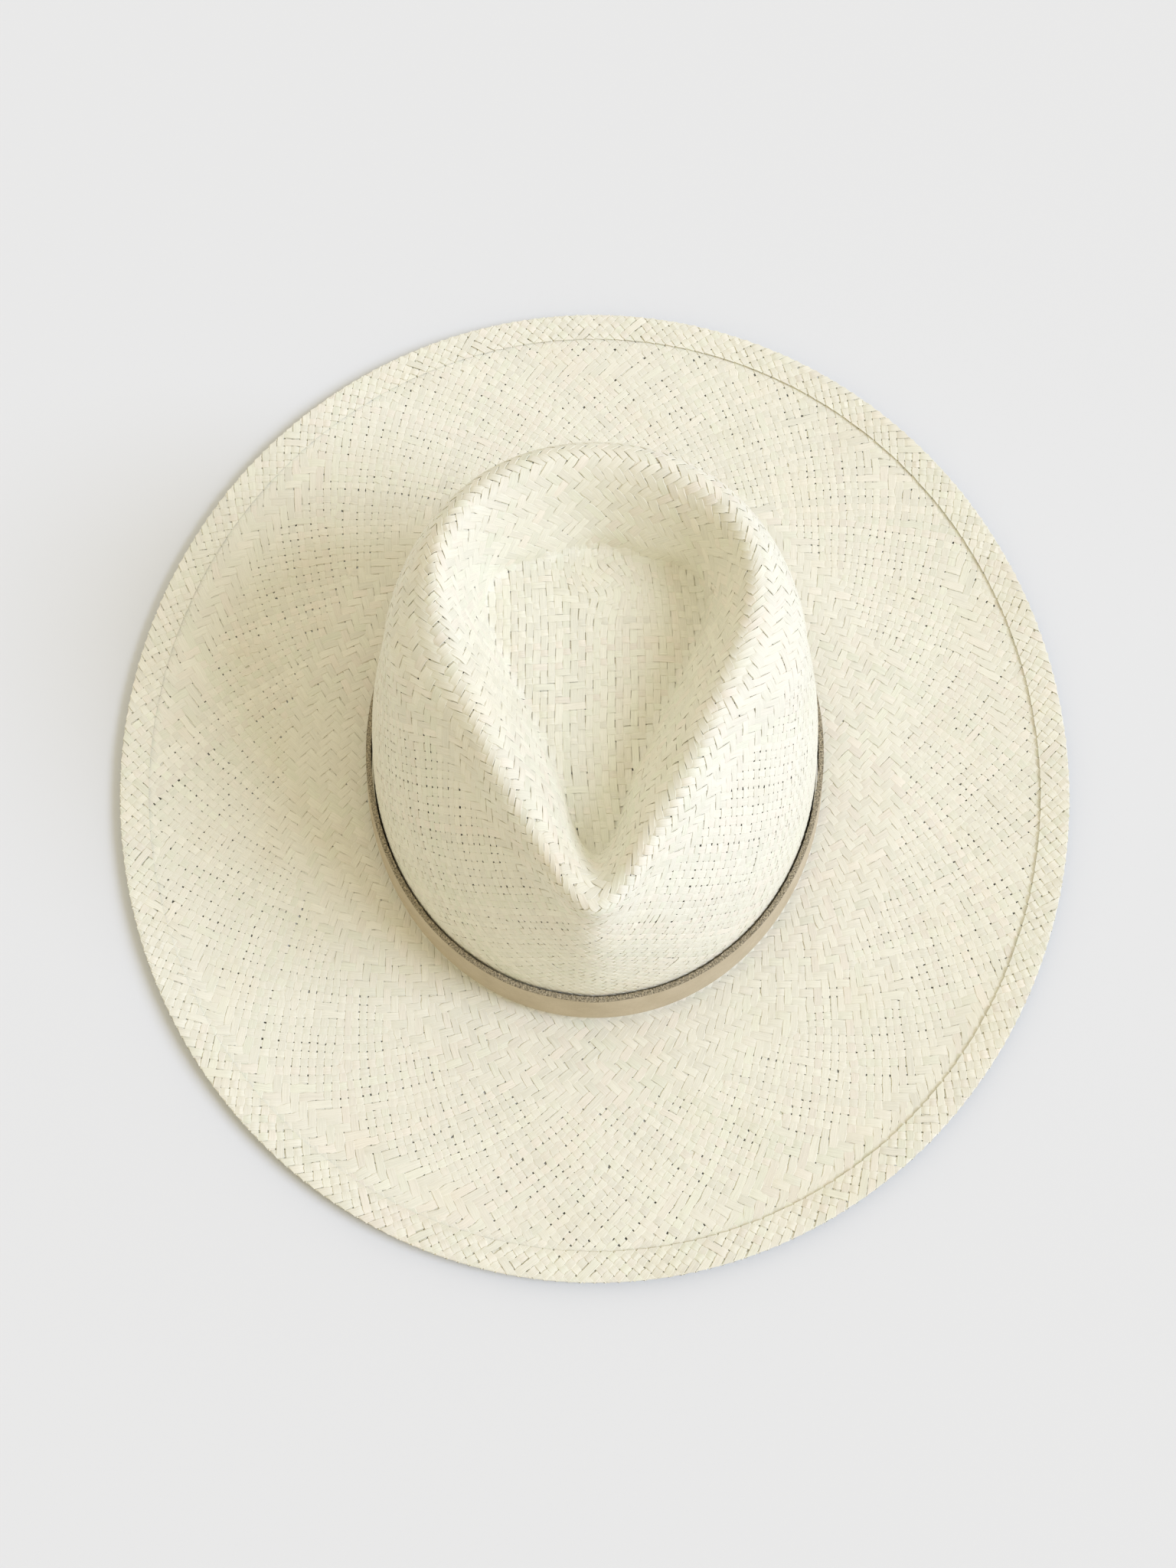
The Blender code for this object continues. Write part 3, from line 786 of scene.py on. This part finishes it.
def thread_finish(name, colour):
    """Twisted thread: slanting plies along each stitch."""
    made = Nodes(name)
    flat = made.attribute("flat")
    ply = made.add("TexWave", {"Vector": flat, "Scale": 0.9, "Distortion": 0.6}).outputs["Fac"]
    tint = made.mix(made.ramp(ply, 0.1, 0.9), (*(0.72 * c for c in colour), 1), (*colour, 1))
    return made.put(Base_Color=tint, Roughness=0.7, Normal=made.bump(ply, 0.6, 0.0001))


def cloth_finish(name, warp, weft, pitch, shine=0.6):
    """Woven ribbon or tape: fine threads both ways."""
    made = Nodes(name)
    flat = made.scale(made.attribute("flat"), (1 / pitch, 1 / pitch, 0.0))
    ply = {"Vector": flat, "Scale": 0.5, "Distortion": 0.3}
    across, along = (made.add("TexWave", ply, bands_direction=way).outputs["Fac"]
                     for way in "XY")
    weave = made.math("MAXIMUM", across, made.math("MULTIPLY", along, 0.85))
    uneven = made.noise(flat, 0.15, 3.0)
    colour = made.mix(made.ramp(weave, 0.2, 0.9), (*weft, 1), (*warp, 1))
    colour = made.mix(made.ramp(uneven, 0.4, 0.75, 0.0, 0.3), colour, (*weft, 1))
    return made.put(Base_Color=colour, Roughness=shine, Normal=made.bump(weave, 0.6, 0.0001))


def straw():
    form = Form()
    weave = Weave(form)
    finish = straw_finish()
    for side, label in ((1, "sunwise"), (-1, "widdershins")):
        runs = strand_runs(form, weave, side)
        for part, group in enumerate(np.array_split(np.arange(len(runs)), GROUPS)):
            mesh = ribbon_mesh(f"straw_{label}_{part + 1}", [runs[s] for s in group])
            add(mesh, finish, "hat", "straw", "straw_body")
    mesh = ribbon_mesh("straw_crown_top", floor_runs())
    add(mesh, finish, "hat", "straw", "straw_body")


# ---- bands ----
def wrap(angles, section, out):
    """Points of a section of (height, distance out from the wall), carried round the wall."""
    fine, _ = crown_rings(angles, WALL_KNOT, WALL_RINGS)
    levels = np.linspace(0.0, WALL_STEP * WALL_STEPS, WALL_STEPS + 1)
    plan = np.empty((len(angles), len(levels), 2))
    for i in range(len(angles)):
        for axis in (0, 1):
            plan[i, :, axis] = np.interp(levels, fine[:, i, 2], fine[:, i, axis])
    normal = unit(plan / np.array(HEAD_HALF) ** 2)
    heights = np.broadcast_to(section[..., 0], (len(angles), section.shape[-2]))
    outs = np.broadcast_to(section[..., 1], heights.shape) + np.reshape(out, (-1, 1))
    cell = np.clip(heights / WALL_STEP, 0, WALL_STEPS - 0.001)
    low = cell.astype(int)
    part = (cell - low)[..., None]
    row = np.arange(len(angles))[:, None]
    here = blend(plan[row, low], plan[row, low + 1], part)
    away = unit(blend(normal[row, low], normal[row, low + 1], part))
    return np.concatenate([here + away * outs[..., None], heights[..., None]], axis=-1)


def loft(name, rings, cut=None, lanes=1):
    """Mesh through closed rings of points, with both ends filled."""
    count, corner = rings.shape[:2]
    form = bmesh.new()
    flat = form.verts.layers.float_vector.new("flat")
    edge = form.verts.layers.float.new("cut")
    unwrap = form.loops.layers.uv.new("OFBake")
    run = run_along(rings.mean(axis=1))
    girth = np.linalg.norm(np.roll(rings, -1, axis=1) - rings, axis=2).mean(axis=0)
    around = np.concatenate([[0], np.cumsum(girth)])
    rows = []
    for i in range(count):
        row = []
        for k in range(corner):
            vert = form.verts.new(rings[i, k])
            vert[flat] = (run[i] / MM, around[k] / MM, 0)
            vert[edge] = 0.0 if cut is None else float(cut[k])
            row.append(vert)
        rows.append(row)
    for i in range(count - 1):
        lane = min(int(lanes * i / (count - 1)), lanes - 1)
        u0, u1 = lanes * i / count - lane, lanes * (i + 1) / count - lane
        for k in range(corner):
            m = (k + 1) % corner
            face = form.faces.new((rows[i][k], rows[i][m], rows[i + 1][m], rows[i + 1][k]))
            v0, v1 = ((lane + 0.96 * a / around[-1]) / lanes for a in (around[k], around[k + 1]))
            for loop, place in zip(face.loops, ((u0, v0), (u0, v1), (u1, v1), (u1, v0))):
                loop[unwrap].uv = (min(max(place[0], 0.0), 1.0), place[1])
    for row in (rows[0][::-1], rows[-1]):
        face = form.faces.new(row)
        for loop in face.loops:
            loop[unwrap].uv = (0.999, 0.999)
    bmesh.ops.recalc_face_normals(form, faces=form.faces)
    return mesh_of(name, form)


def strap_section(low, high, thick, radius, steps):
    """Section of a strap against the wall: rounded outer edges, square inner ones."""
    turn = np.linspace(0, pi / 2, 5)
    points = [(low + 0.1 * radius, 0.0), (low, 0.1 * radius)]
    points += [(low + radius * (1 - cos(a)), thick - radius * (1 - sin(a))) for a in turn]
    points += [(h, thick) for h in np.linspace(low + radius, high - radius, steps)[1:-1]]
    points += [(high - radius * (1 - sin(a)), thick - radius * (1 - cos(a))) for a in turn]
    points += [(high, 0.5 * (thick - radius)), (high, 0.1 * radius), (high - 0.1 * radius, 0.0)]
    points += [(h, 0.0) for h in np.linspace(high, low, 6)[1:-1]]
    return np.array(points)


def band_offset(angle):
    """Leather clear of the straw, stepping out where the outer end laps the inner one."""
    ramp = BAND_RAMP / HEAD_HALF[1]
    share = smooth((angle - (pi / 2 + tau - ramp)) / (0.8 * ramp))
    return CLOTH + GAP + (BAND_THICK + GAP) * share


def hat_band():
    end = pi / 2 + tau + BAND_LAP / HEAD_HALF[1]
    angles = np.linspace(pi / 2, end, 1300)
    section = strap_section(BAND_BOTTOM, BAND_TOP, BAND_THICK, 0.00045, 9)
    cut = (section[:, 0] > BAND_TOP - 0.0003) | (section[:, 0] < BAND_BOTTOM + 0.0003)
    cut |= section[:, 1] < 0.0001
    rings = np.repeat(section[None], len(angles), axis=0)
    chance = np.random.default_rng(12)
    rough = chance.normal(size=(len(angles), 1)) * 0.00005
    top = section[:, 0] > BAND_TOP - 0.0001
    rings[:, top, 0] += rough + chance.normal(size=(len(angles), top.sum())) * 0.00010
    rings[:, top, 1] += chance.normal(size=(len(angles), top.sum())) * 0.00008
    wave = 0.00012 * np.sin(angles * 9 + 1) + 0.00008 * np.sin(angles * 23)
    face = section[:, 1] > BAND_THICK - 0.0001
    belly = np.sin(pi * (section[face, 0] - BAND_BOTTOM) / (BAND_TOP - BAND_BOTTOM))
    rings[:, face, 1] += wave[:, None] * belly
    mesh = loft("hat_band_leather", wrap(angles, rings, band_offset(angles)), cut, lanes=4)
    finish = leather_finish("band_leather", (0.61, 0.53, 0.385), (0.52, 0.445, 0.31),
                            (0.58, 0.50, 0.34))
    add(mesh, finish, "band", "band_leather", "hat_band")


def stitches(name, points, outward, radius, finish, *names):
    """A row of separate stitches, one for each pair of points, each arched between its holes."""
    form = bmesh.new()
    flat = form.verts.layers.float_vector.new("flat")
    unwrap = form.loops.layers.uv.new("OFBake")
    for number, (a, b, out) in enumerate(zip(points[:-1], points[1:], outward)):
        way = unit(b - a)
        length = np.linalg.norm(b - a)
        over = unit(np.cross(way, out))
        rows = []
        for i in range(STITCH_STEPS):
            t = i / (STITCH_STEPS - 1)
            middle = a + (b - a) * (0.5 + (t - 0.5) * STITCH_FILL)
            middle = middle - out * STITCH_SINK * abs(2 * t - 1) ** 3
            size = radius * (1 - 0.45 * abs(2 * t - 1) ** 4)
            row = []
            for k in range(STITCH_SIDES):
                turn = tau * k / STITCH_SIDES
                vert = form.verts.new(middle + (out * cos(turn) + over * sin(turn)) * size)
                vert[flat] = ((number * length + t * length) / MM, turn * radius / MM, 0)
                row.append(vert)
            rows.append(row)
        faces = [form.faces.new((r0[k - 1], r0[k], r1[k], r1[k - 1]))
                 for r0, r1 in zip(rows, rows[1:]) for k in (*range(1, STITCH_SIDES), 0)]
        faces += [form.faces.new(rows[0][::-1]), form.faces.new(rows[-1])]
        for face in faces:
            for corner, loop in enumerate(face.loops):
                loop[unwrap].uv = ((number % 16 + 0.2 + 0.6 * (corner in (1, 2))) / 16,
                                   (number // 16 % 16 + 0.2 + 0.6 * (corner > 1)) / 16)
    bmesh.ops.recalc_face_normals(form, faces=form.faces)
    add(mesh_of(name, form), finish, *names)


def wall_thread(angles, heights, out):
    """Points on the wall for a row of stitches, and their outward directions."""
    section = np.stack([heights, np.zeros(len(angles))], axis=-1)[:, None]
    near = wrap(angles, section, out)[:, 0]
    far = wrap(angles, section, out + 0.001)[:, 0]
    return near, unit(far - near)


def hat_band_stitches():
    start, end = (pi / 2 + tau + part * BAND_LAP / HEAD_HALF[1] for part in (0.25, 0.85))
    low, high = BAND_BOTTOM + 0.004, BAND_TOP - 0.004
    corners = [(start, low), (end, low), (end, high), (start, high)]
    angles, heights = [], []
    for (a0, h0), (a1, h1) in zip(corners, corners[1:] + corners[:1]):
        count = 6 if h0 == h1 else 4
        angles += [a0 + (a1 - a0) * i / count for i in range(count)]
        heights += [h0 + (h1 - h0) * i / count for i in range(count)]
    angles, heights = np.array(angles + angles[:1]), np.array(heights + heights[:1])
    out = band_offset(angles) + BAND_THICK + STITCH_OFF - 0.0001
    points, outward = wall_thread(angles, heights, out)
    finish = thread_finish("band_thread", (0.62, 0.53, 0.38))
    stitches("hat_band_thread", points, outward, 0.00028, finish,
             "band", "band_thread", "hat_band_stitching")


def sweat_angles(count):
    slot = 0.5 * SWEAT_SLOT / HEAD_HALF[1]
    return np.linspace(pi / 2 + slot, pi / 2 + tau - slot, count)


def sweatband():
    angles = sweat_angles(360)
    section = strap_section(SWEAT_BOTTOM, SWEAT_TOP, SWEAT_THICK, 0.0003, 16)
    section[:, 1] = SWEAT_THICK - section[:, 1]
    rings = np.repeat(section[None], len(angles), axis=0)
    lift = smooth((section[:, 0] - 0.016) / 0.018)
    wave = 0.00035 * np.sin(angles * 7 + 0.5) + 0.00025 * np.sin(angles * 17 + 2.0)
    rings[..., 1] -= (0.0006 + wave)[:, None] * lift
    dimple = np.exp(-((section[:, 0] - SWEAT_STITCH_HEIGHT) / 0.0010) ** 2)
    rings[..., 1] += 0.00018 * dimple * (section[:, 1] < 0.0002)
    cut = (section[:, 0] > SWEAT_TOP - 0.0002) | (section[:, 1] > SWEAT_THICK - 0.0001)
    mesh = loft("sweatband_leather", wrap(angles, rings, -GAP - SWEAT_THICK), cut, lanes=4)
    finish = leather_finish("sweatband_leather", (0.66, 0.53, 0.36), (0.58, 0.44, 0.28),
                            (0.66, 0.56, 0.42))
    add(mesh, finish, "hat", "sweatband_leather", "sweatband")


def sweatband_reed():
    angles = sweat_angles(360)
    turn = np.linspace(0, tau, 12, endpoint=False)
    section = np.column_stack([REED_HEIGHT + REED_RADIUS * np.cos(turn), REED_RADIUS * np.sin(turn)])
    section = np.repeat(section[None], len(angles), axis=0)
    rib = 1 + 0.03 * np.sin(np.arange(len(angles)) * pi / 2)
    section[..., 0] = REED_HEIGHT + (section[..., 0] - REED_HEIGHT) * rib[:, None]
    section[..., 1] *= rib[:, None]
    low = np.full_like(section[..., 0], BREAK_RADIUS)
    foot = wrap(angles, np.stack([low, section[..., 1]], axis=-1), -GAP - SWEAT_THICK / 2)
    foot[..., 2] = section[..., 0]
    mesh = loft("sweatband_reed_cover", foot, lanes=4)
    finish = cloth_finish("reed_cover", (0.82, 0.78, 0.66), (0.66, 0.60, 0.47), 0.35)
    add(mesh, finish, "hat", "reed_cover", "sweatband_reed")


def sweatband_stitches():
    angles = sweat_angles(190)
    out = np.full(len(angles), -GAP - SWEAT_THICK - 0.0001)
    points, outward = wall_thread(angles, np.full(len(angles), SWEAT_STITCH_HEIGHT), out)
    finish = thread_finish("sweatband_thread", (0.86, 0.83, 0.73))
    stitches("sweatband_thread", points, -outward, STITCH_RADIUS, finish,
             "hat", "sweatband_thread", "sweatband_stitching")


def ribbon(path, widths, thick):
    """Rings of a flat ribbon along points in one plane: width upright, edges rounded."""
    section = [(-0.5, -0.3), (-0.25, -0.5), (0.0, -0.5), (0.25, -0.5), (0.5, -0.3),
               (0.5, 0.3), (0.25, 0.5), (0.0, 0.5), (-0.25, 0.5), (-0.5, 0.3)]
    up = np.array([0, 0, 1.0])
    rings = []
    for point, along, width in zip(path, unit(np.gradient(path, axis=0)), widths):
        side = np.array([along[1], -along[0], 0.0])
        rings.append([point + up * h * width + side * o * thick for h, o in section])
    return np.array(rings)


def sweatband_bow():
    """Small ribbon bow over the meeting ends: two flat loops drawn in by a knot."""
    low, high = (np.array(corner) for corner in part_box("sweatband_bow"))
    centre = 0.5 * (low + high)
    reach, deep, tall = 0.5 * (high - low)
    thick = 0.0004
    parts = []
    for side in (1, -1):
        turn = np.linspace(-pi, pi, 41)
        x = side * reach * (0.5 + 0.47 * np.cos(turn))
        y = (deep - thick) * 0.86 * np.sin(turn) * np.abs(np.sin(turn / 2 + pi / 2)) ** 0.3
        path = np.column_stack([x, y, np.zeros(41)]) + centre
        widths = 2 * tall * (0.55 + 0.43 * smooth(np.abs(x) / reach * 1.5))
        parts.append(ribbon(path, widths, thick))
    turn = np.linspace(0, tau, 25)
    y = (deep - 0.2 * thick) * 0.98 * np.sin(turn)
    path = np.column_stack([0.0028 * np.cos(turn), y, np.zeros(25)]) + centre
    parts.append(ribbon(path, np.full(25, 1.30 * tall), thick))
    joined = bmesh.new()
    for rings in parts:
        mesh = loft("bow_part", rings)
        joined.from_mesh(mesh)
        bpy.data.meshes.remove(mesh)
    mesh = mesh_of("sweatband_ribbon_bow", joined)
    finish = cloth_finish("bow_ribbon", (0.64, 0.55, 0.40), (0.48, 0.40, 0.28), 0.25, 0.45)
    add(mesh, finish, "hat", "bow_ribbon", "sweatband_bow")


def sweatband_label():
    """Blank woven tab, flat at its ends and puffed in the middle."""
    angles = np.linspace(LABEL_TURN[0] - pi / 2, LABEL_TURN[1] - pi / 2, 40)
    section = strap_section(*LABEL_SPAN, LABEL_THICK, 0.0002, 24)
    section[:, 1] = LABEL_THICK - section[:, 1]
    rings = np.repeat(section[None], len(angles), axis=0)
    puff = np.sin(np.linspace(0, pi, len(angles))) ** 0.5
    belly = np.sin(pi * (section[:, 0] - LABEL_SPAN[0]) / 0.020)
    rings[..., 1] -= 0.00025 * puff[:, None] * belly[None]
    out = -GAP - SWEAT_THICK - STITCH_OFF - LABEL_THICK
    mesh = loft("sweatband_blank_label", wrap(angles, rings, out))
    finish = cloth_finish("label_cloth", (0.88, 0.86, 0.80), (0.74, 0.72, 0.65), 0.3)
    add(mesh, finish, "hat", "label_cloth", "sweatband_label")


straw()
hat_band()
hat_band_stitches()
sweatband()
sweatband_reed()
sweatband_stitches()
sweatband_bow()
sweatband_label()


# ---- camera, floor and light ----
def soft_light(name, strength, colour, spread, place):
    """A lamp far away at `place`, as wide as `spread` degrees of the sky."""
    lamp = bpy.data.lights.new(name, "SUN")
    lamp.energy, lamp.color, lamp.angle = strength, colour, radians(spread)
    stand = link(name, lamp)
    stand.location = place
    stand.rotation_euler = (-stand.location).to_track_quat("-Z", "Y").to_euler()


def studio():
    scene = bpy.context.scene
    lens = bpy.data.cameras.new("camera")
    lens.lens = LENS
    lens.sensor_width = SENSOR
    lens.clip_start = 0.02
    camera = link("camera", lens)
    back = Vector((0, -sin(CAMERA_TILT), cos(CAMERA_TILT)))
    camera.location = Vector(CAMERA_AIM) + CAMERA_AWAY * back
    camera.rotation_euler = (CAMERA_TILT, 0, 0)
    scene.camera = camera

    floor = bmesh.new()
    bmesh.ops.create_grid(floor, x_segments=1, y_segments=1, size=GROUND_HALF)
    mesh = mesh_of("floor", floor)
    mesh.materials.append(Nodes("floor").put(Base_Color=(*GROUND_COLOUR, 1), Roughness=0.9))
    link("floor", mesh)

    world = bpy.data.worlds.new("studio")
    world.use_nodes = True
    sky = world.node_tree.nodes["Background"]
    sky.inputs["Color"].default_value = SKY_COLOUR
    sky.inputs["Strength"].default_value = SKY_STRENGTH
    scene.world = world
    soft_light("key", 2.234, (0.669, 0.751, 1.0), 30, (1.0, -0.25, 0.805))
    soft_light("fill", 0.575, (0.70, 0.80, 1.0), 120, (0.0, 1.0, 0.70))
    scene.view_settings.view_transform = "Standard"


studio()
